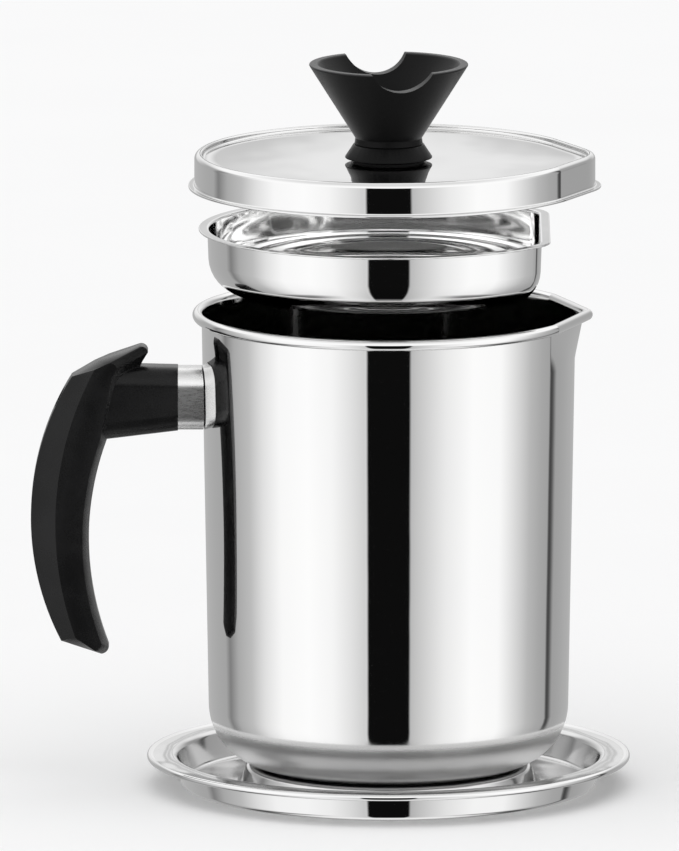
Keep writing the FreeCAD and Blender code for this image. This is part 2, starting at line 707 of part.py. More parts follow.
def make_handle_screw():
    """Screw from the back of the grip through its arm into the boss."""
    body = make_body("handle_screw")
    head = make_sketch(body, "ScrewHead", "YZ_Plane", "-" + HEAD_SEAT)
    circle(head, "0", ARM_AXIS, "screw_head_radius")
    solid = pad(body, head, "screw_head_height", back=True)
    rim = -number(size(HEAD_SEAT + " + screw_head_height"))
    names = edges_where(solid, lambda e: abs(e.BoundBox.XMax - rim) < 0.01)
    round_edges(body, solid, names, "screw_head_height / 3")
    shank = make_sketch(body, "ScrewShank", "YZ_Plane", "-" + HEAD_SEAT)
    circle(shank, "0", ARM_AXIS, "grip_screw_radius")
    pad(body, shank, HEAD_SEAT + " - (" + BOSS_END + " - screw_engage)")
    slot = make_sketch(body, "ScrewSlot", "YZ_Plane", "-(" + HEAD_SEAT + " + screw_head_height)")
    slot_outline(slot, "screw_head_radius * 3", "screw_head_radius / 3", "screw_head_radius / 8",
                 "0", ARM_AXIS)
    pad(body, slot, "screw_head_height / 2", "PartDesign::Pocket", back=True)
    return body


def make_lock_washer():
    """Plain ring under the screw head."""
    body = make_body("handle_lock_washer")
    ring = make_sketch(body, "LockWasherRing", "YZ_Plane", "-" + HEAD_SEAT)
    circle(ring, "0", ARM_AXIS, "lock_washer_radius")
    circle(ring, "0", ARM_AXIS, "grip_screw_radius + fit_gap")
    pad(body, ring, "lock_washer_sheet")
    return body


def basin_block(body, name, inset, low, bend):
    """Solid basin from the flange plane down to a level, its sides moved in by an inset."""
    lean = "(" + FLANGE_Z + " - " + low + ") * tan(strainer_draft * 1deg) + " + inset
    mouth = make_sketch(body, name + "Mouth", "XY_Plane", FLANGE_Z)
    chord_outline(mouth, "strainer_radius - " + inset, "strainer_chord - " + inset,
                  "strainer_corner - " + inset)
    foot = make_sketch(body, name + "Foot", "XY_Plane", low)
    chord_outline(foot, "strainer_radius - (" + lean + ")", "strainer_chord - (" + lean + ")",
                  "strainer_corner - (" + lean + ")")
    doc.recompute()
    solid = loft(body, mouth, foot)
    floor = number(size(low))
    names = edges_where(solid, lambda e: level(e, floor))
    return round_edges(body, solid, names, bend)


def cut_out(body, core):
    """Subtract one body from another."""
    cut = body.newObject("PartDesign::Boolean", body.Label + "Core")
    cut.Group = [core]
    cut.Type = "Cut"
    doc.recompute()
    return cut


def make_basin():
    """Drawn strainer: a shallow basin cut straight on the spout side, with a flat flange."""
    body = make_body("strainer_basin")
    basin_block(body, "Basin", "0", BASIN_FLOOR, "strainer_bend")
    core = make_body("strainer_core")
    basin_block(core, "BasinCore", "strainer_sheet", BASIN_INSIDE, "strainer_bend - strainer_sheet")
    cut_out(body, core)
    flange = make_sketch(body, "BasinFlange", "XY_Plane", FLANGE_Z)
    chord_outline(flange, "strainer_radius + flange_width", "strainer_chord + flange_width",
                  "strainer_corner + flange_width")
    chord_outline(flange, "strainer_radius - strainer_sheet", "strainer_chord - strainer_sheet",
                  "strainer_corner - strainer_sheet")
    pad(body, flange, "strainer_sheet")
    window = make_sketch(body, "BasinWindow", "XY_Plane", BASIN_INSIDE)
    circle(window, "0", "0", "mesh_radius - mesh_seat")
    pad(body, window, "strainer_depth / 2", "PartDesign::Pocket", both=True)
    return body


def make_mesh():
    """Woven wire disc lying on the basin floor over its window."""
    body = make_body("strainer_mesh")
    disc = make_sketch(body, "MeshDisc", "XY_Plane", BASIN_INSIDE)
    circle(disc, "0", "0", "mesh_radius")
    pad(body, disc, "mesh_sheet")
    return body


def make_ring():
    """Pressed ring over the edge of the mesh, standing on the basin floor."""
    body = make_body("mesh_ring")
    section = make_sketch(body, "RingSection", "XZ_Plane")
    low = BASIN_INSIDE
    top = "(" + BASIN_INSIDE + " + ring_height)"
    mesh_top = "(" + BASIN_INSIDE + " + mesh_sheet)"
    inner = "(mesh_radius - mesh_seat)"
    skirt = "(ring_radius - ring_wall)"
    outline(section, [
        (skirt, low), ("ring_radius", low), ("ring_radius", top), (inner, top),
        (inner, mesh_top), (inner + " + ring_wall", mesh_top),
        (inner + " + ring_wall", top + " - ring_wall"), (skirt, top + " - ring_wall"),
    ])
    solid = revolve(body, section)
    high = number(size(top))
    names = edges_where(solid, lambda e: level(e, high) and isinstance(e.Curve, Part.Circle))
    round_edges(body, solid, names, "ring_wall * 0.9")
    return body


def mouth_edges(feature, height):
    """Names of the edges at a height that bound an upright wall."""
    upright = []
    for face in feature.Shape.Faces:
        surface = face.Surface
        flat = isinstance(surface, Part.Plane) and abs(surface.Axis.z) < 0.01
        turned = isinstance(surface, Part.Cylinder) and abs(surface.Axis.z) > 0.99
        if flat or turned:
            upright.extend(face.Edges)
    return edges_where(feature, lambda e: level(e, height) and any(e.isSame(u) for u in upright))


def make_lid_shell():
    """Pressed lid: sunk top, rounded shoulder, skirt with a nose over the spout and a flange."""
    body = make_body("lid_shell")
    plan = make_sketch(body, "LidPlan", "XY_Plane", LID_Z)
    reach = "(lid_radius + lid_nose_reach)"
    nose_outline(plan, "lid_radius", "lid_nose_half_angle", reach, "lid_nose_radius")
    solid = pad(body, plan, "lid_height")
    top = number(size(LID_Z + " + lid_height"))
    names = edges_where(solid, lambda e: level(e, top))
    solid = round_edges(body, solid, names, "lid_shoulder")
    dish = make_sketch(body, "LidDish", "XY_Plane", LID_Z + " + lid_height")
    nose_outline(dish, "lid_radius - lid_rim_width", "lid_nose_half_angle",
                 reach + " - lid_rim_width", "lid_nose_radius - lid_rim_width")
    solid = pad(body, dish, "lid_dish", "PartDesign::Pocket")
    solid = round_edges(body, solid, mouth_edges(solid, top), "lid_rim_round")
    sunk = number(size(LID_TOP))
    names = edges_where(solid, lambda e: level(e, sunk))
    solid = round_edges(body, solid, names, "lid_rim_round")
    base = number(size(LID_Z))
    under = faces_where(solid, lambda f: level(f, base))
    hollow = body.newObject("PartDesign::Thickness", "LidHollow")
    hollow.Base = (solid, under)
    hollow.setExpression("Value", size("lid_sheet"))
    hollow.Reversed = True
    doc.recompute()
    flange = make_sketch(body, "LidFlange", "XY_Plane", LID_Z)
    nose_outline(flange, "lid_radius + lid_flange", "lid_nose_half_angle",
                 reach + " + lid_flange", "lid_nose_radius + lid_flange")
    nose_outline(flange, "lid_radius - lid_sheet", "lid_nose_half_angle",
                 reach + " - lid_sheet", "lid_nose_radius - lid_sheet")
    pad(body, flange, "lid_sheet")
    hole = make_sketch(body, "LidHole", "XY_Plane", LID_TOP)
    circle(hole, "0", "0", "screw_radius + fit_gap")
    pad(body, hole, "lid_height", "PartDesign::Pocket", both=True)
    return body


def turned(label, corners):
    """A round body about Z from one half section."""
    body = make_body(label)
    section = make_sketch(body, "Section_" + label, "XZ_Plane")
    outline(section, corners)
    revolve(body, section)
    return body


HOLE = "(screw_radius + fit_gap)"


def make_seal():
    """Rubber ring between the lid and the knob's collar."""
    return turned("knob_seal", [(HOLE, LID_TOP), ("seal_radius", LID_TOP),
                                ("seal_radius", COLLAR_Z), (HOLE, COLLAR_Z)])


def make_collar():
    """Flared foot of the knob with a thin lip near its lower edge."""
    lip = "(" + COLLAR_Z + " + collar_undercut)"
    return turned("knob_collar", [
        (HOLE, COLLAR_Z), ("collar_foot_radius", COLLAR_Z), ("collar_radius", lip),
        ("collar_radius", lip + " + collar_lip"), ("collar_neck_radius", KNOB_Z), (HOLE, KNOB_Z),
    ])


def make_knob():
    """Moulded cup knob: flaring wall, rounded rim and two finger notches across it."""
    body = make_body("knob_cup")
    section = make_sketch(body, "KnobSection", "XZ_Plane")
    waist = "(" + KNOB_Z + " + knob_skirt)"
    floor = "(" + KNOB_Z + " + knob_floor)"
    socket = "(insert_radius + fit_gap)"
    roof = "(" + KNOB_Z + " + insert_length + fit_gap)"
    outline(section, [
        (socket, KNOB_Z), ("knob_skirt_radius", KNOB_Z), ("knob_waist_radius", waist),
        ("knob_radius", KNOB_TOP),
        ("knob_radius - knob_wall", KNOB_TOP), ("knob_floor_radius", floor), ("0", floor),
        ("0", roof), (socket, roof),
    ])
    solid = revolve(body, section)
    top = number(size(KNOB_TOP))
    names = edges_where(solid, lambda e: level(e, top) and isinstance(e.Curve, Part.Circle))
    solid = round_edges(body, solid, names, "knob_rim_round")
    notch = make_sketch(body, "KnobNotch", "XZ_Plane")
    circle(notch, "0", KNOB_TOP + " - notch_depth + notch_radius", "notch_radius")
    notch.setExpression("AttachmentOffset.Rotation.Axis.x", "0")
    notch.setExpression("AttachmentOffset.Rotation.Axis.y", "1")
    notch.setExpression("AttachmentOffset.Rotation.Axis.z", "0")
    notch.setExpression("AttachmentOffset.Rotation.Angle", size("notch_turn * 1deg"))
    pad(body, notch, "knob_radius * 3", "PartDesign::Pocket", both=True)
    return body


def make_insert():
    """Threaded brass insert moulded into the knob."""
    end = "(" + KNOB_Z + " + insert_length)"
    thread = "(screw_radius + thread_gap)"
    return turned("knob_insert", [(thread, KNOB_Z), ("insert_radius", KNOB_Z),
                                  ("insert_radius", end), (thread, end)])


def make_knob_washer():
    """Washer under the lid that spreads the screw's pull."""
    low = "(" + LID_UNDER + " - washer_sheet)"
    return turned("knob_washer", [(HOLE, low), ("washer_radius", low),
                                  ("washer_radius", LID_UNDER), (HOLE, LID_UNDER)])


def make_knob_screw():
    """Screw from under the lid through washer, lid, seal and collar into the insert."""
    seat = "(" + LID_UNDER + " - washer_sheet)"
    low = "(" + LID_UNDER + " - washer_sheet - knob_screw_head_height)"
    tip = "(" + KNOB_Z + " + insert_length - fit_gap)"
    return turned("knob_screw", [
        ("0", low), ("knob_screw_head_radius * 0.7", low),
        ("knob_screw_head_radius", low + " + knob_screw_head_height / 2"),
        ("knob_screw_head_radius", seat), ("screw_radius", seat), ("screw_radius", tip),
        ("0", tip),
    ])


def make_all():
    fill_sheet()
    grip = make_grip()
    drill_grip(grip)
    return [make_tray(), make_pot_shell(), make_saddle(), make_boss(), make_ferrule(), grip,
            make_handle_screw(), make_lock_washer(), make_basin(), make_mesh(), make_ring(),
            make_lid_shell(), make_seal(), make_collar(), make_knob(), make_insert(),
            make_knob_washer(), make_knob_screw()]


for part in make_all():
    doc.recompute()
    bad = [item.Name for item in part.Group if "Invalid" in item.State or "Error" in item.State]
    if bad or part.Shape.isNull() or not part.Shape.isValid() or not part.Shape.Solids:
        raise RuntimeError(part.Label + " did not build: " + ", ".join(bad))
    part.Shape.exportStep("parts/" + part.Label + ".step")
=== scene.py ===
import math

import bmesh
import bpy
from mathutils import Matrix, Vector


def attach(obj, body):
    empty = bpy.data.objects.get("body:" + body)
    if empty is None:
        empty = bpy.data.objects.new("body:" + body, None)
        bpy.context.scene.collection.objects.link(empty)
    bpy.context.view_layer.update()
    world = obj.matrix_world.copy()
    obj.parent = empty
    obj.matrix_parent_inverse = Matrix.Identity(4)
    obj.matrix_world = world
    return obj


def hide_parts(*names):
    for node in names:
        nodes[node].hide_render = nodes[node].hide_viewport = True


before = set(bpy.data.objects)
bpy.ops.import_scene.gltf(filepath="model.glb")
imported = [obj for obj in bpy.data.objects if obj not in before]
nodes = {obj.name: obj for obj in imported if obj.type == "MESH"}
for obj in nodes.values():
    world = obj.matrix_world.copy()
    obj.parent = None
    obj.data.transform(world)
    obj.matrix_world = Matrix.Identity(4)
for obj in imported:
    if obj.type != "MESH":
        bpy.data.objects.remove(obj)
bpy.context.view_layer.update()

# Sizes are in millimetres, in the frame of the solids: Z up the pot's axis from the table, the
# spout on +X and the handle on -X. MM turns them into metres.
MM = 0.001
TO_DEGREES = 180.0 / math.pi
STEEL_SHINE = 0.74          # share of the light that polished steel sends back
SHEET = 0.6                 # sheet of the pot, the strainer and the lid

TRAY_SHEET = 0.8
TRAY_RIM = 10.4             # height of the rim's inner edge
PLATEAU = 46.0              # radius of the plateau's edge
MOAT_IN = 48.6              # radii between which the moat's floor is flat
MOAT_OUT = 66.2
WALL_TOP = 68.8             # radius at which the wall meets the rim

POT_TOP = 154.5             # middle of the rolled rim
POT_BASE = 7.0              # the foot, on the tray's plateau
POT_RADIUS = 60.6           # outside of the wall at the rolled rim
POT_LEAN = math.tan(math.radians(1.0))
SPOUT_LOW = 140.5           # where the spout starts to leave the wall
SPOUT_REACH = 63.2          # how far it comes out from the axis
SPOUT_HALF = 30.0           # degrees that it takes to either side
SPOUT_TIP = 5.0             # radius of its point

BASIN_RADIUS = 58.7
BASIN_CHORD = 49.4          # how far the straight side lies from the axis
BASIN_CORNER = 13.0
FLANGE_UNDER = 182.5        # underside of the strainer's flange
BASIN_UNDER = 162.5         # underside of its floor
WINDOW = 33.4               # radius of the opening in the floor

LID_RADIUS = 62.9
LID_FOOT = 196.6            # lowest edge of the lid's flange
LID_TOP = 207.5             # top of its raised rim
LID_PANEL = 204.9           # middle of its sunk panel
NOSE_REACH = 4.0            # how far the nose comes out past the skirt
NOSE_HALF = 28.0            # degrees that it takes to either side
NOSE_TIP = 24.0             # radius of its point
NOSE_DEPTH = 6.6            # how far in from the skirt it keeps its full size

KNOB_FOOT = 210.5
KNOB_TOP = 236.8
NOTCH_RADIUS = 11.0
NOTCH_HUB = 241.5           # height of the notch's axis
NOTCH_TURN = 11.0           # degrees

FERRULE_AXIS = 127.3
FERRULE_FACE = -68.225      # where the grip ends and the sleeve begins


# ---------------------------------------------------------------- objects

def link(name, data):
    """A new object in the scene."""
    made = bpy.data.objects.new(name, data)
    bpy.context.scene.collection.objects.link(made)
    return made


def piece_from(name, made):
    """Turn a bmesh into a piece of the scene."""
    mesh = bpy.data.meshes.new(name)
    made.to_mesh(mesh)
    made.free()
    return link(name, mesh)


def settle(piece):
    """Turn a piece's modifiers into plain mesh."""
    graph = bpy.context.evaluated_depsgraph_get()
    mesh = bpy.data.meshes.new_from_object(piece.evaluated_get(graph))
    piece.modifiers.clear()
    piece.data = mesh
    return piece


def place_camera():
    """Long lens at table height, looking along +Y and a little down."""
    pixels_per_mm, frame_height = 3.085, 851.0
    reach = 9.0
    tilt = math.radians(9.7)
    target = Vector((-0.0159, 0.0, 0.1180))
    data = bpy.data.cameras.new("long_lens")
    data.sensor_width = 36.0
    data.lens = pixels_per_mm * data.sensor_width * reach * 1000.0 / frame_height
    data.clip_end = 100.0
    camera = link("camera", data)
    camera.location = target + Vector((0.0, -math.cos(tilt), math.sin(tilt))) * reach
    camera.rotation_euler = (math.radians(90.0) - tilt, 0.0, 0.0)
    bpy.context.scene.camera = camera


# ---------------------------------------------------------------- node trees

class Value:
    """An output socket of a node; arithmetic on it adds Math nodes."""

    def __init__(self, tree, socket):
        self.tree = tree
        self.socket = socket

    def maths(self, operation, *others):
        return self.tree.maths(operation, self, *others)

    def __add__(self, other):
        return self.maths("ADD", other)

    def __radd__(self, other):
        return self.tree.maths("ADD", other, self)

    def __sub__(self, other):
        return self.maths("SUBTRACT", other)

    def __rsub__(self, other):
        return self.tree.maths("SUBTRACT", other, self)

    def __mul__(self, other):
        return self.maths("MULTIPLY", other)

    def __rmul__(self, other):
        return self.tree.maths("MULTIPLY", other, self)

    def __truediv__(self, other):
        return self.maths("DIVIDE", other)

    def __rtruediv__(self, other):
        return self.tree.maths("DIVIDE", other, self)

    def __neg__(self):
        return self.maths("MULTIPLY", -1.0)

    def above(self, level):
        return self.maths("GREATER_THAN", level)

    def between(self, low, high):
        """0 below low, 1 above high, smooth in between."""
        ramp = {"interpolation_type": "SMOOTHSTEP"}
        return self.tree.node("ShaderNodeMapRange", ramp, {0: self, 1: low, 2: high})

    def axes(self):
        """X, Y and Z of a vector."""
        return self.tree.node("ShaderNodeSeparateXYZ", None, {0: self}).outputs()

    def outputs(self):
        """All outputs of the node that this one belongs to."""
        return [Value(self.tree, socket) for socket in self.socket.node.outputs]


class Tree:
    """A node tree that is filled through one method."""

    def __init__(self, holder):
        self.nodes = holder.nodes
        self.links = holder.links

    def node(self, kind, settings=None, sockets=None, output=0):
        """Add a node: its settings first, then its sockets' values or links."""
        made = self.nodes.new(kind)
        for name, value in (settings or {}).items():
            if name == "stops":
                self.set_stops(made.color_ramp, value)
            else:
                setattr(made, name, value)
        for key, value in (sockets or {}).items():
            if isinstance(value, Value):
                self.links.new(value.socket, made.inputs[key])
            else:
                made.inputs[key].default_value = value
        return Value(self, made.outputs[output] if len(made.outputs) else None)

    def set_stops(self, ramp, stops):
        """Stops are (place, grey) pairs."""
        while len(ramp.elements) < len(stops):
            ramp.elements.new(1.0)
        for element, (place, tone) in zip(ramp.elements, stops):
            element.position = place
            element.color = (tone, tone, tone, 1.0)

    def maths(self, operation, *inputs):
        """A Math node on values and numbers."""
        return self.node("ShaderNodeMath", {"operation": operation}, dict(enumerate(inputs)))

    def mix(self, factor, one, two):
        """A colour between colour one and colour two."""
        return self.node("ShaderNodeMix", {"data_type": "RGBA"}, {0: factor, 6: one, 7: two}, 2)

    def vector(self, **parts):
        """A vector from its X, Y and Z; what isn't given is 0."""
        return self.node("ShaderNodeCombineXYZ", None, parts)


def new_finish(name):
    """A material and its empty tree."""
    material = bpy.data.materials.new(name)
    material.use_nodes = True
    material.node_tree.nodes.clear()
    return material, Tree(material.node_tree)


def close_finish(tree, shader):
    tree.node("ShaderNodeOutputMaterial", None, {"Surface": shader})


def place_on_piece(tree, stretch=(1.0, 1.0, 1.0)):
    """Object coordinates, stretched if asked."""
    spot = tree.node("ShaderNodeTexCoord", output="Object")
    return tree.node("ShaderNodeMapping", None, {"Vector": spot, "Scale": stretch})


def grain(tree, spot, scale, detail=3.0, rough=0.55):
    return tree.node("ShaderNodeTexNoise", None,
                     {"Vector": spot, "Scale": scale, "Detail": detail, "Roughness": rough})


def face_finish(tree, colour, rough, relief, fixed):
    """Close a finish: colour and roughness over a relief (height, strength, depth in metres)."""
    height, strength, depth = relief
    bump = tree.node("ShaderNodeBump", None,
                     {"Height": height, "Strength": strength, "Distance": depth})
    sockets = {"Base Color": colour, "Roughness": rough, "Normal": bump, **fixed}
    close_finish(tree, tree.node("ShaderNodeBsdfPrincipled", None, sockets))


# ---------------------------------------------------------------- finishes

def mirror_steel(name, base, haze, wave, foot=None):
    """Polished sheet steel: a clear mirror with faint haze, buffing lines and a soft wave.

    A foot is the pair of heights between which the polish fades to a drawn satin below."""
    material, tree = new_finish(name)
    spot = place_on_piece(tree)
    cloud = grain(tree, spot, 22.0, 2.0)
    buff = grain(tree, place_on_piece(tree, (0.12, 0.12, 1.0)), 2600.0, 2.0)
    swell = grain(tree, spot, 46.0, 1.0)
    rough = haze + (cloud - 0.5) * haze * 0.7 + (buff - 0.5) * haze * 0.5
    if foot:
        low, high = foot
        rough = rough + (1.0 - spot.axes()[2].between(low * MM, high * MM)) * 0.3
    tone = tree.mix(cloud, (base * 0.985, base * 0.985, base * 0.99, 1.0),
                    (base * 1.01, base * 1.008, base, 1.0))
    face_finish(tree, tone, rough, (swell, wave, 0.001), {"Metallic": 1.0})
    return material


def moulded_black(name, tone, roughness, coarse, shine=0.18, rim=None):
    """Moulded black resin: satin face with a fine grain and paler worn patches.

    Above the height rim, if given, the face is painted paler: a painted highlight along the knob's
    flat rim."""
    material, tree = new_finish(name)
    spot = place_on_piece(tree)
    fine = grain(tree, spot, coarse, 3.0, 0.6)
    patch = grain(tree, spot, 60.0, 3.0)
    colour = tree.mix(patch.between(0.35, 0.75), (tone, tone, tone * 1.03, 1.0),
                      (tone * 1.7, tone * 1.7, tone * 1.75, 1.0))
    if rim:
        # painted highlight: from half a millimetre below the height rim upward the colour turns
        # paler
        painted_rim_highlight = spot.axes()[2].between((rim - 0.5) * MM, rim * MM)
        colour = tree.mix(painted_rim_highlight, colour, (0.05, 0.05, 0.051, 1.0))
    rough = roughness + (patch - 0.5) * 0.16 + (fine - 0.5) * 0.1
    face_finish(tree, colour, rough, (fine, 0.35, 0.00012),
                {"IOR": 1.5, "Specular IOR Level": shine})
    return material


def brushed_metal(name, colour, roughness, scale):
    """Plain machined or drawn metal with fine lines."""
    material, tree = new_finish(name)
    spot = place_on_piece(tree)
    lines = grain(tree, place_on_piece(tree, (0.2, 0.2, 1.0)), scale, 2.0)
    cloud = grain(tree, spot, 140.0, 2.0)
    dark = tuple(c * 0.86 for c in colour)
    tone = tree.mix(cloud, (*dark, 1.0), (*colour, 1.0))
    rough = roughness + (lines - 0.5) * 0.16
    face_finish(tree, tone, rough, (lines, 0.3, 0.00003), {"Metallic": 1.0})
    return material


# ---------------------------------------------------------------- studio

def pale_floor():
    """Pale round floor that keeps the shadow and lets mirror rays pass to the studio."""
    radius, below, corners = 4.0, 0.0002, 96        # metres
    material, tree = new_finish("pale_floor")
    speck = grain(tree, place_on_piece(tree), 9.0, 2.0)
    tone = tree.mix(speck, (0.925, 0.925, 0.925, 1.0), (0.945, 0.945, 0.945, 1.0))
    paper = tree.node("ShaderNodeBsdfDiffuse", None, {"Color": tone})
    clear = tree.node("ShaderNodeBsdfTransparent")
    mirrored = tree.node("ShaderNodeLightPath", output="Is Glossy Ray")
    close_finish(tree, tree.node("ShaderNodeMixShader", None, {0: mirrored, 1: paper, 2: clear}))
    mesh = bpy.data.meshes.new("floor")
    turns = [math.tau * i / corners for i in range(corners)]
    spots = [(radius * math.cos(turn), radius * math.sin(turn), -below) for turn in turns]
    mesh.from_pydata(spots, [], [tuple(range(corners))])
    mesh.materials.append(material)
    floor = link("floor", mesh)


# Brightness of the studio round the set, as metal sees it: (degrees from the front, brightness);
# minus is to the left. Two soft boxes stand either side of a dark gap in front.
ROUND_LIGHT = [
    (-180, 0.38), (-150, 0.38), (-128, 0.36), (-122, 0.20), (-112, 0.39), (-98, 0.50),
    (-86, 0.74), (-72, 0.94), (-52, 0.98), (-36, 0.92), (-24, 0.76), (-15.2, 0.62),
    (-13.6, 0.66), (-12.8, 0.004), (12.8, 0.004), (13.4, 0.48), (14.6, 0.50), (24, 0.64),
    (36, 0.82), (54, 0.97), (74, 0.95), (88, 0.68), (100, 0.47), (111, 0.38), (119.5, 0.35),
    (121.5, 0.05), (124.5, 0.07), (129, 0.33), (150, 0.37), (180, 0.37),
]


def mirrored_light(tree):
    """Brightness of the studio in each direction, as polished metal shows it."""
    x, y, z = tree.node("ShaderNodeTexCoord", output="Generated").axes()
    azimuth = x.maths("ARCTAN2", -y) * TO_DEGREES
    tilt = z.maths("ARCTAN2", (x * x + y * y).maths("SQRT")) * TO_DEGREES
    turn = azimuth.maths("ABSOLUTE")
    stops = [((degrees + 180.0) / 360.0, tone) for degrees, tone in ROUND_LIGHT]
    lit = tree.node("ShaderNodeValToRGB", {"stops": stops}, {0: azimuth / 360.0 + 0.5})
    # a pale glow behind the set
    lit = lit + turn.between(140.0, 176.0) * tilt.between(0.0, 7.0) * 0.36
    # a narrow darker strip straight behind it, palest in its middle
    off = (x.maths("ARCTAN2", y) * TO_DEGREES - 0.08).maths("ABSOLUTE")
    strip = (1.0 - off.between(0.9, 1.6)) * tilt.between(0.0, 4.0)
    strip = strip * (1.0 - tilt.between(16.0, 22.0))
    lit = lit * (1.0 - strip * (off.between(0.0, 0.5) * 0.29 + 0.03))
    # the roof, which hangs lower in front and is darker overhead
    eaves = tilt.between(7.0, 13.0) * (1.0 - turn.between(60.0, 120.0))
    roof = eaves.maths("MAXIMUM", tilt.between(16.0, 34.0))
    lit = lit * (1.0 - roof) + roof * (0.98 - tilt.between(24.0, 78.0) * 0.3)
    # below the table: a little darker, a dark edge at the sides and a pale middle
    down = -tilt
    lit = lit * (1.0 - down.between(14.0, 60.0) * 0.15)
    edge = down.between(44.0, 50.0) * (1.0 - down.between(54.0, 60.0)) * turn.between(30.0, 70.0)
    under = down.between(55.0, 75.0)
    lit = lit * (1.0 - under) + under * 0.82
    return lit * (1.0 - edge * 0.75)


def background(tree, colour):
    return tree.node("ShaderNodeBackground", None, {"Color": colour, "Strength": 1.0})


def studio():
    """World light: plain white for the camera, even light on plain surfaces, a studio in metal."""
    world = bpy.data.worlds.new("studio")
    world.use_nodes = True
    world.node_tree.nodes.clear()
    world.cycles.sampling_method = "NONE"
    bpy.context.scene.world = world
    tree = Tree(world.node_tree)
    metal = background(tree, mirrored_light(tree) * (1.0 / STEEL_SHINE))
    plain = background(tree, (0.62, 0.62, 0.623, 1.0))
    seen = background(tree, (0.947, 0.947, 0.947, 1.0))
    glossy = tree.node("ShaderNodeLightPath", output="Is Glossy Ray")
    camera = tree.node("ShaderNodeLightPath", output="Is Camera Ray")
    mixed = tree.node("ShaderNodeMixShader", None, {0: glossy, 1: plain, 2: metal})
    mixed = tree.node("ShaderNodeMixShader", None, {0: camera, 1: mixed, 2: seen})
    tree.node("ShaderNodeOutputWorld", None, {"Surface": mixed})


def soft_lamp(name, strength, spread, turn):
    """A wide soft sun that mirrors don't show; spread and turn are in degrees."""
    data = bpy.data.lights.new(name, "SUN")
    data.energy = strength
    data.angle = math.radians(spread)
    lamp = link(name, data)
    lamp.rotation_euler = tuple(math.radians(a) for a in turn)
    lamp.visible_glossy = False


# ---------------------------------------------------------------- half sections and plans

def rounded(corners, closed=False, steps=7, near=0.1):
    """Points of a half section: corners are (r, z) or (r, z, radius of the bend there)."""
    points = []
    last = len(corners) - 1
    for index, corner in enumerate(corners):
        here = Vector(corner[:2])
        if len(corner) == 2 or (not closed and index in (0, last)):
            points.append(here)
            continue
        before = Vector(corners[index - 1][:2]) - here
        after = Vector(corners[(index + 1) % len(corners)][:2]) - here
        opening = before.angle(after)
        cut = corner[2] / math.tan(opening / 2)
        before_way, after_way = before.normalized(), after.normalized()
        hub = here + (before_way + after_way).normalized() * (corner[2] / math.sin(opening / 2))
        first = here + before_way * cut - hub
        turn = first.angle_signed(here + after_way * cut - hub)
        if before.length > cut + 2 * near:
            points.append(here + before_way * (cut + near))
        for step in range(steps + 1):
            spin = Matrix.Rotation(-turn * step / steps, 2)
            points.append(hub + spin @ first)
        if after.length > cut + 2 * near:
            points.append(here + after_way * (cut + near))
    return [tuple(p) for p in points]


def arc(r, z, radius, start, sweep, steps):
    """Points of a half section along an arc, from the start angle on (degrees)."""
    turns = [math.radians(start + step * sweep / steps) for step in range(steps + 1)]
    return [(r + radius * math.cos(turn), z + radius * math.sin(turn)) for turn in turns]


def azimuths(edges=(), coarse=1.5, fine=0.35, span=4.0):
    """Azimuths all round, closer together near the given edges (degrees)."""
    found = set()
    count = round(360.0 / coarse)
    for step in range(count):
        found.add(round(-180.0 + step * 360.0 / count, 4))
    for edge in edges:
        for side in (-1, 1):
            step = -span
            while step <= span:
                found.add(round(side * (edge + step), 4))
                step += fine
    return [math.radians(a) for a in sorted(found)]


def plain_round(azimuth, r, z):
    return r


def from_front(azimuth):
    """How far an azimuth is from +X, on either side."""
    return abs((azimuth + math.pi) % math.tau - math.pi)


def nose(azimuth, radius, half, reach, tip):
    """Radius at an azimuth of a circle drawn out to a rounded nose on +X."""
    turn = from_front(azimuth)
    half = math.radians(half)
    if turn >= half:
        return radius
    hub = reach - tip
    foot = Vector((radius * math.cos(half), radius * math.sin(half)))
    away = foot - Vector((hub, 0.0))
    lift = math.atan2(away.y, away.x) - math.acos(tip / away.length)
    touch = Vector((hub + tip * math.cos(lift), tip * math.sin(lift)))
    if turn <= math.atan2(touch.y, touch.x):
        along = hub * math.cos(turn)
        return along + math.sqrt(along * along - hub * hub + tip * tip)
    run = touch - foot
    return (foot.x * run.y - foot.y * run.x) / (math.cos(turn) * run.y - math.sin(turn) * run.x)


def chorded(azimuth, radius, chord, corner):
    """Radius at an azimuth of a circle cut straight on +X, with rounded corners."""
    turn = from_front(azimuth)
    hub_x = chord - corner
    hub_y = math.sqrt((radius - corner) ** 2 - hub_x ** 2)
    if turn >= math.atan2(hub_y, hub_x):
        return radius
    if turn <= math.atan2(hub_y, chord):
        return chord / math.cos(turn)
    along = hub_x * math.cos(turn) + hub_y * math.sin(turn)
    return along + math.sqrt(along * along - (radius - corner) ** 2 + corner ** 2)


def eased(value, low, high):
    """0 below low, 1 above high, smooth in between."""
    t = min(max((value - low) / (high - low), 0.0), 1.0)
    return t * t * (3.0 - 2.0 * t)


def band(made, one, two):
    """Faces between two rings, either of which may be a single pole."""
    count = max(len(one), len(two))
    faces = []
    for i in range(count):
        j = (i + 1) % count
        if len(one) == 1:
            faces.append(made.faces.new((one[0], two[i], two[j])))
        elif len(two) == 1:
            faces.append(made.faces.new((one[i], two[0], one[j])))
        else:
            faces.append(made.faces.new((one[i], two[i], two[j], one[j])))
    return faces


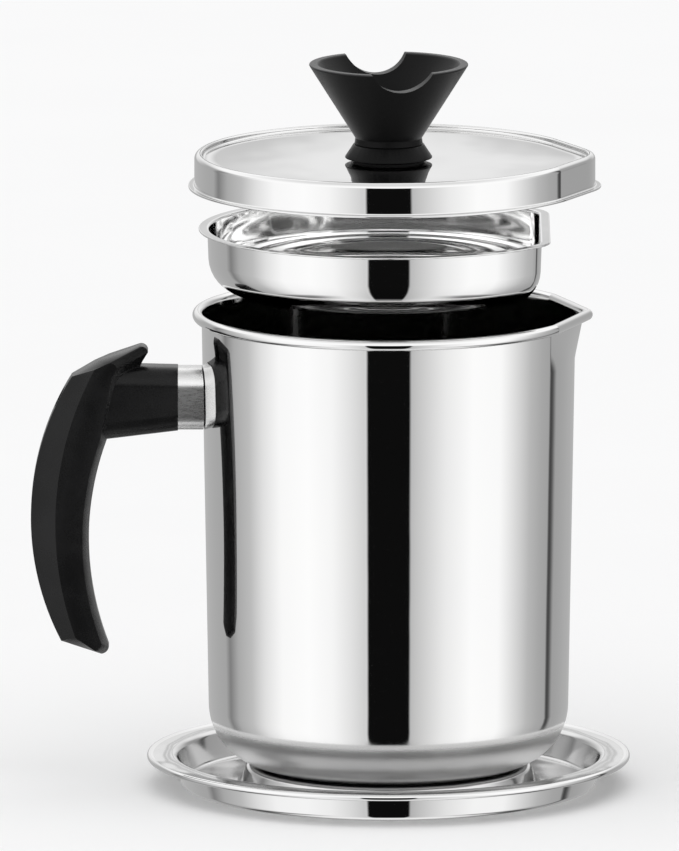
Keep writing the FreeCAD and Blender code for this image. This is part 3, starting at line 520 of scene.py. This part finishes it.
def skin(name, section, plan, turns, closed=False, zones=()):
    """Sweep a half section round Z; plan(azimuth, r, z) is the real radius there.

    Each zone is the place in the section where the next finish starts."""
    made = bmesh.new()
    rings = []
    for r, z in section:
        if abs(r) < 1e-6:
            rings.append([made.verts.new((0.0, 0.0, z * MM))])
            continue
        ring = []
        for azimuth in turns:
            out = plan(azimuth, r, z) * MM
            ring.append(made.verts.new((out * math.cos(azimuth), out * math.sin(azimuth), z * MM)))
        rings.append(ring)
    pairs = list(zip(rings, rings[1:]))
    if closed:
        pairs.append((rings[-1], rings[0]))
    for index, (one, two) in enumerate(pairs):
        slot = sum(1 for start in zones if index >= start)
        for face in band(made, one, two):
            face.material_index = slot
            face.smooth = True
    bmesh.ops.recalc_face_normals(made, faces=made.faces)
    return piece_from(name, made)


# ---------------------------------------------------------------- pressed and drawn sheet pieces

def press_tray():
    """Plateau, moat and wall in one sheet, with a wide rim that ends in a rolled edge."""
    sheet, tight = TRAY_SHEET, 1.2
    wide = tight + sheet
    under = rounded([(0.0, POT_BASE - sheet), (PLATEAU - sheet, POT_BASE - sheet, tight),
                     (MOAT_IN - sheet, 0.0, wide), (MOAT_OUT + sheet, 0.0, wide),
                     (WALL_TOP + sheet, TRAY_RIM - sheet, tight), (76.9, 9.1)])
    roll = arc(77.4, 9.5, 1.0, -112.0, 206.0, 18)
    top = rounded([(76.4, 10.0), (WALL_TOP, TRAY_RIM, wide), (MOAT_OUT, sheet, tight),
                   (MOAT_IN, sheet, tight), (PLATEAU, POT_BASE, wide), (0.0, POT_BASE)])
    return skin("pressed_tray", under + roll + top, plain_round, azimuths(),
                zones=(len(under + roll),))


def pot_wall(z):
    """Outside radius of the leaning pot wall at a height."""
    return POT_RADIUS - (POT_TOP - z) * POT_LEAN


def spout_plan(azimuth, r, z):
    """The pot's round plan, drawn out to the spout over its top; the bead follows the lip."""
    out = nose(azimuth, POT_RADIUS, SPOUT_HALF, SPOUT_REACH, SPOUT_TIP) - POT_RADIUS
    if r > POT_RADIUS + 0.2:
        return r + out
    return r + out * min(max((z - SPOUT_LOW) / (POT_TOP - SPOUT_LOW), 0.0), 1.0)


def draw_pot():
    """Drawn pot: large foot corner, leaning wall, rolled rim, and the inside a sheet within."""
    bend, bead, below = 20.0, 1.7, SPOUT_LOW - 0.1
    steps = [142.0, 144.0, 146.0, 148.0, 150.0, 152.0]
    outside = rounded([(0.0, POT_BASE), (pot_wall(POT_BASE), POT_BASE, bend),
                       (pot_wall(below), below)], steps=24)
    outside += [(pot_wall(z), z) for z in steps + [153.2]]
    outside += arc(POT_RADIUS + 1.25, POT_TOP, bead, -140.0, 320.0, 28)
    inside = [(pot_wall(z) - SHEET, z) for z in [153.6] + steps[::-1]]
    inside += rounded([(pot_wall(below) - SHEET, below),
                       (pot_wall(POT_BASE) - SHEET, POT_BASE + SHEET, bend - SHEET),
                       (0.0, POT_BASE + SHEET)], steps=24)
    turns = azimuths((5.0, SPOUT_HALF, 14.0, 22.0))
    return skin("drawn_pot", outside + inside, spout_plan, turns, zones=(len(outside),))


def basin_plan(azimuth, r, z):
    """Plan of the basin: r counts inward from its round side, so the cut side keeps step."""
    inset = BASIN_RADIUS - r
    if inset > 12.2:
        return r            # the middle of the floor is round
    return chorded(azimuth, r, BASIN_CHORD - inset, max(BASIN_CORNER - inset, 0.5))


def draw_basin():
    """Drafted basin with a flat flange and a round window in its floor."""
    lean = 20.6 * math.tan(math.radians(2.0))
    floor, flange = BASIN_UNDER + SHEET, FLANGE_UNDER + SHEET
    rim, inner = BASIN_RADIUS + 2.8, BASIN_RADIUS - SHEET
    section = rounded([
        (WINDOW, BASIN_UNDER), (BASIN_RADIUS - lean, BASIN_UNDER, 11.0),
        (BASIN_RADIUS, FLANGE_UNDER, 0.6), (rim, FLANGE_UNDER, 0.12), (rim, flange, 0.3),
        (inner, flange, 0.8), (inner - lean, floor, 10.4), (WINDOW, floor, 0.12),
    ], closed=True, steps=9)
    inside = next(place for place, (r, z) in enumerate(section)
                  if place > 20 and r < inner + 0.1 and z > FLANGE_UNDER - 0.5)
    return skin("drawn_basin", section, basin_plan, azimuths((31.0, 40.0), span=9.0, fine=0.75),
                closed=True, zones=(inside,))


def press_ring():
    """Folded ring that clamps the wire disc to the basin's floor."""
    sheet, outside, foot, top = 0.7, 36.4, BASIN_UNDER + SHEET, 166.1
    short = foot + 0.5      # the inner leg of the fold ends above the wires
    section = rounded([
        (outside - sheet, foot), (outside, foot), (outside, top, 0.63), (WINDOW, top, 0.63),
        (WINDOW, short), (WINDOW + sheet, short), (WINDOW + sheet, top - sheet, 0.2),
        (outside - sheet, top - sheet, 0.2),
    ], closed=True)
    return skin("clamp_ring", section, plain_round, azimuths(), closed=True)


def lid_plan(azimuth, r, z):
    """The lid's plan: a nose over the spout, which fades out across the sunk panel."""
    inset = min(LID_RADIUS - r, NOSE_DEPTH)
    radius = LID_RADIUS - inset
    reach = LID_RADIUS + NOSE_REACH - inset
    out = nose(azimuth, radius, NOSE_HALF, reach, NOSE_TIP - inset) - radius
    return r + out * eased(r, 24.0, LID_RADIUS - NOSE_DEPTH)


def press_lid():
    """Skirt, shoulder, narrow raised rim and sunk panel; the underside runs a sheet below."""
    flange, skirt, rim, edge, flat = 64.8, LID_RADIUS, 60.3, 58.2, 14.0
    ledge, step = LID_FOOT + SHEET, LID_PANEL + 1.0
    outer = rounded([(flange, LID_FOOT), (flange, ledge, 0.25), (skirt, ledge, 0.5),
                     (skirt, LID_TOP, 1.8), (rim, LID_TOP, 0.75), (rim, step, 0.8),
                     (edge, step)], steps=12)
    panel = []
    for r in (56.0, 53.0, 50.0, 46.0, 42.0, 38.0, 34.0, 30.0, 26.0, 22.0, 18.0, flat, 8.0, 2.3):
        panel.append((r, LID_PANEL + (max(r - flat, 0.0) / (edge - flat)) ** 2))
    under = [(r, z - SHEET) for r, z in reversed(panel)]
    inner = rounded([(edge, step - SHEET), (rim + SHEET, step - SHEET, 1.4),
                     (rim + SHEET, LID_TOP - SHEET, 0.4), (skirt - SHEET, LID_TOP - SHEET, 1.2),
                     (skirt - SHEET, LID_FOOT)], steps=10)
    turns = azimuths((NOSE_HALF, 21.0), span=3.0, fine=0.3)
    return skin("pressed_lid", outer + panel + under + inner, lid_plan, turns, closed=True,
                zones=(len(outer + panel),))


def draw_ferrule():
    """Bright oval sleeve from the arm to the pot wall, its far end scribed to the wall."""
    high, wide, corner, sheet, gap = 20.2, 17.4, 6.0, 1.0, 0.3
    made = bmesh.new()
    rings = []
    for inset, at_wall in ((0.0, False), (0.0, True), (sheet, True), (sheet, False)):
        ring = []
        bend = corner - inset
        for quarter, (side, up) in enumerate(((1, 1), (-1, 1), (-1, -1), (1, -1))):
            for step in range(15):
                turn = math.radians(90.0 * quarter + 90.0 * step / 14)
                y = side * (wide / 2 - corner) + bend * math.cos(turn)
                z = FERRULE_AXIS + up * (high / 2 - corner) + bend * math.sin(turn)
                wall = pot_wall(z) + gap
                x = -math.sqrt(wall * wall - y * y) if at_wall else FERRULE_FACE
                ring.append(made.verts.new((x * MM, y * MM, z * MM)))
        rings.append(ring)
    for one, two in zip(rings, rings[1:] + rings[:1]):
        band(made, one, two)
    bmesh.ops.recalc_face_normals(made, faces=made.faces)
    shade(made, 0.9)
    return piece_from("bright_ferrule", made)


# ---------------------------------------------------------------- moulded pieces

def shade(made, limit):
    """Smooth faces, with edges that turn by more than the limit (radians) kept crisp."""
    for face in made.faces:
        face.smooth = True
    for edge in made.edges:
        edge.smooth = edge.calc_face_angle(0.0) <= limit


def softened(name, node, bevel, angle=28.0):
    """A merged copy of a node's solid with its edges broken."""
    made = bmesh.new()
    made.from_mesh(nodes[node].data)
    bmesh.ops.remove_doubles(made, verts=made.verts, dist=0.00002)
    bmesh.ops.dissolve_limit(made, angle_limit=math.radians(0.6), verts=made.verts,
                             edges=made.edges, use_dissolve_boundaries=False)
    for face in made.faces:
        face.smooth = True
    piece = piece_from(name, made)
    broken = piece.modifiers.new("edges", "BEVEL")
    broken.width = bevel * MM
    broken.segments = 3
    broken.limit_method = "ANGLE"
    broken.angle_limit = math.radians(angle)
    broken.harden_normals = True
    return settle(piece)


def draw_knob():
    """Cup knob: flaring wall, flat rim and one round notch cut right across it."""
    bore, ceiling, floor = 4.1, 218.2, 221.5
    section = [(0.0, ceiling), (bore, ceiling)]
    section += rounded([(bore, KNOB_FOOT), (11.1, KNOB_FOOT, 0.3), (10.8, 212.6, 0.4),
                        (26.05, KNOB_TOP, 0.4), (23.2, KNOB_TOP, 0.4), (9.0, floor, 2.0),
                        (0.0, floor)], steps=5)
    piece = skin("cone_knob", section, plain_round, azimuths(coarse=2.0))
    turned = Matrix.Rotation(math.radians(NOTCH_TURN), 4, "Z")
    across = turned @ Matrix.Rotation(math.pi / 2, 4, "X")
    hub = Matrix.Translation((0.0, 0.0, NOTCH_HUB * MM))
    made = bmesh.new()
    bmesh.ops.create_cone(made, cap_ends=True, segments=160, radius1=NOTCH_RADIUS * MM,
                          radius2=NOTCH_RADIUS * MM, depth=80.0 * MM, matrix=hub @ across)
    cutter = piece_from("notch_cutter", made)
    cut = piece.modifiers.new("notch", "BOOLEAN")
    cut.operation = "DIFFERENCE"
    cut.solver = "EXACT"
    cut.object = cutter
    settle(piece)
    bpy.data.objects.remove(cutter)
    made = bmesh.new()
    made.from_mesh(piece.data)
    bmesh.ops.remove_doubles(made, verts=made.verts, dist=0.000002)
    shade(made, 0.45)
    made.to_mesh(piece.data)
    made.free()
    return piece


# ---------------------------------------------------------------- woven wire

def wire_tree():
    """Geometry nodes for a round of plain-woven wire; its sizes are inputs."""
    group = bpy.data.node_groups.new("woven_wire", "GeometryNodeTree")
    face = group.interface
    face.new_socket("Cloth", in_out="OUTPUT", socket_type="NodeSocketGeometry")
    for name in ("Radius", "Pitch", "Wire", "Crimp", "Level"):
        face.new_socket(name, in_out="INPUT", socket_type="NodeSocketFloat")
    face.new_socket("Finish", in_out="INPUT", socket_type="NodeSocketMaterial")
    tree = Tree(group)
    radius, pitch, wire, crimp, level, finish = tree.node("NodeGroupInput").outputs()[:6]
    half = (radius / pitch).maths("FLOOR")
    edge = half * pitch
    # wires side by side along Y, each with four steps to a pair of crossings
    row = tree.node("GeometryNodeMeshLine", {"mode": "OFFSET"},
                    {"Count": half * 2.0 + 1.0, "Start Location": tree.vector(Y=-edge),
                     "Offset": tree.vector(Y=pitch)})
    line = tree.node("GeometryNodeCurvePrimitiveLine", None,
                     {"Start": tree.vector(X=-edge), "End": tree.vector(X=edge)})
    line = tree.node("GeometryNodeResampleCurve", None, {"Curve": line, "Count": half * 4.0 + 1.0})
    wires = tree.node("GeometryNodeInstanceOnPoints", None, {"Points": row, "Instance": line})
    wires = tree.node("GeometryNodeRealizeInstances", None, {"Geometry": wires})
    # over one and under the next, and cut off round
    x, y, _ = tree.node("GeometryNodeInputPosition").axes()
    lift = ((x + y) / pitch * math.pi).maths("COSINE") * crimp
    wires = tree.node("GeometryNodeSetPosition", None,
                      {"Geometry": wires, "Offset": tree.vector(Z=lift)})
    outside = (x * x + y * y).above(radius * radius)
    wires = tree.node("GeometryNodeDeleteGeometry", {"domain": "POINT"},
                      {"Geometry": wires, "Selection": outside})
    # the crossing wires are the same ones turned and flipped
    crossed = tree.node("GeometryNodeTransform", None,
                        {"Geometry": wires, "Rotation": (0.0, 0.0, math.pi / 2),
                         "Scale": (1.0, 1.0, -1.0)})
    both = tree.node("GeometryNodeJoinGeometry", None, {"Geometry": wires})
    tree.links.new(crossed.socket, both.socket.node.inputs["Geometry"])
    ring = tree.node("GeometryNodeCurvePrimitiveCircle", None,
                     {"Resolution": 4, "Radius": wire * 0.5})
    cloth = tree.node("GeometryNodeCurveToMesh", None,
                      {"Curve": both, "Profile Curve": ring, "Fill Caps": True})
    cloth = tree.node("GeometryNodeTransform", None,
                      {"Geometry": cloth, "Translation": tree.vector(Z=level)})
    cloth = tree.node("GeometryNodeSetShadeSmooth", None, {"Geometry": cloth})
    cloth = tree.node("GeometryNodeRealizeInstances", None, {"Geometry": cloth})
    cloth = tree.node("GeometryNodeSetMaterial", None, {"Geometry": cloth, "Material": finish})
    tree.node("NodeGroupOutput", None, {"Cloth": cloth})
    return group


def weave_mesh(material):
    """The strainer's wire disc: wires over and under each other inside the ring."""
    piece = link("woven_mesh", bpy.data.meshes.new("woven_mesh"))
    maker = piece.modifiers.new("weave", "NODES")
    maker.node_group = wire_tree()
    values = {"Radius": 35.1 * MM, "Pitch": 0.8 * MM, "Wire": 0.42 * MM, "Crimp": 0.13 * MM,
              "Level": 163.43 * MM, "Finish": material}
    for item in maker.node_group.interface.items_tree:
        if item.item_type == "SOCKET" and item.in_out == "INPUT":
            maker[item.identifier] = values[item.name]
    return settle(piece)


# ---------------------------------------------------------------- the set

def dress(piece, materials, body, slot, *replaced):
    """Give a piece its finishes, its body and the nodes that it stands for."""
    if piece.data.materials:
        piece.data.materials.clear()
    for material in materials:
        piece.data.materials.append(material)
    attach(piece, body)
    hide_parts(*replaced)


def repaint(node, material):
    """Give a solid that stays in view a better finish."""
    for slot in nodes[node].material_slots:
        slot.material = material


def build_set():
    """Make the finishes, the pieces of the set and what they stand for."""
    polished = mirror_steel("polished_steel", STEEL_SHINE, 0.03, 0.06)
    inside = mirror_steel("inside_steel", STEEL_SHINE * 0.86, 0.07, 0.12)
    drawn_out = mirror_steel("pot_steel", STEEL_SHINE, 0.03, 0.03, (19.0, 26.0))
    pressed = mirror_steel("pressed_steel", STEEL_SHINE * 0.84, 0.11, 0.9)
    # painted light: the polished steel copied brighter, so that the basin's inside, shaded by the
    # lid, shows pale; the lid's underside takes it too
    painted_bright_steel = mirror_steel("steel_painted_brighter", STEEL_SHINE * 1.3, 0.07, 0.02)
    sleeve = mirror_steel("sleeve_steel", STEEL_SHINE, 0.27, 0.02)
    drawn = brushed_metal("drawn_wire", (0.86, 0.86, 0.85), 0.42, 900.0)
    plain = brushed_metal("plain_steel", (0.62, 0.62, 0.61), 0.32, 1500.0)
    brass = brushed_metal("turned_brass", (0.78, 0.60, 0.30), 0.28, 1800.0)
    resin = moulded_black("black_resin", 0.006, 0.27, 1700.0)
    # the knob's resin, with a painted highlight along its flat rim
    painted_rim_highlight = moulded_black("resin_painted_rim_highlight", 0.003, 0.32, 1700.0, 0.1, KNOB_TOP - 0.1)
    rubber = moulded_black("black_rubber", 0.009, 0.65, 2600.0)
    dress(press_tray(), [polished, pressed], "tray", "polished_steel", "drip_tray")
    dress(draw_pot(), [drawn_out, inside], "pot", "polished_steel", "pot_shell")
    # the basin's inside takes the steel painted brighter
    dress(draw_basin(), [polished, painted_bright_steel], "strainer", "polished_steel", "strainer_basin")
    dress(press_ring(), [polished], "strainer", "polished_steel", "mesh_ring")
    dress(weave_mesh(drawn), [drawn], "strainer", "wire_mesh", "strainer_mesh")
    # the lid's underside takes the steel painted brighter
    dress(press_lid(), [polished, painted_bright_steel], "lid", "polished_steel", "lid_shell")
    dress(draw_ferrule(), [sleeve], "pot", "ferrule_steel", "handle_ferrule")
    dress(softened("moulded_grip", "handle_grip", 0.9), [resin], "pot", "black_bakelite",
          "handle_grip")
    dress(draw_knob(), [painted_rim_highlight], "lid", "black_bakelite", "knob_cup")
    dress(softened("knob_foot", "knob_collar", 0.1), [painted_rim_highlight], "lid", "black_bakelite",
          "knob_collar")
    repaint("knob_seal", rubber)
    repaint("knob_insert", brass)
    for node in ("handle_saddle", "handle_boss", "handle_screw", "handle_lock_washer",
                 "knob_washer", "knob_screw"):
        repaint(node, plain)


bpy.context.scene.view_settings.view_transform = "Standard"
place_camera()
studio()
soft_lamp("key", 1.29, 80.0, (12.0, -8.0, 0.0))
pale_floor()
build_set()
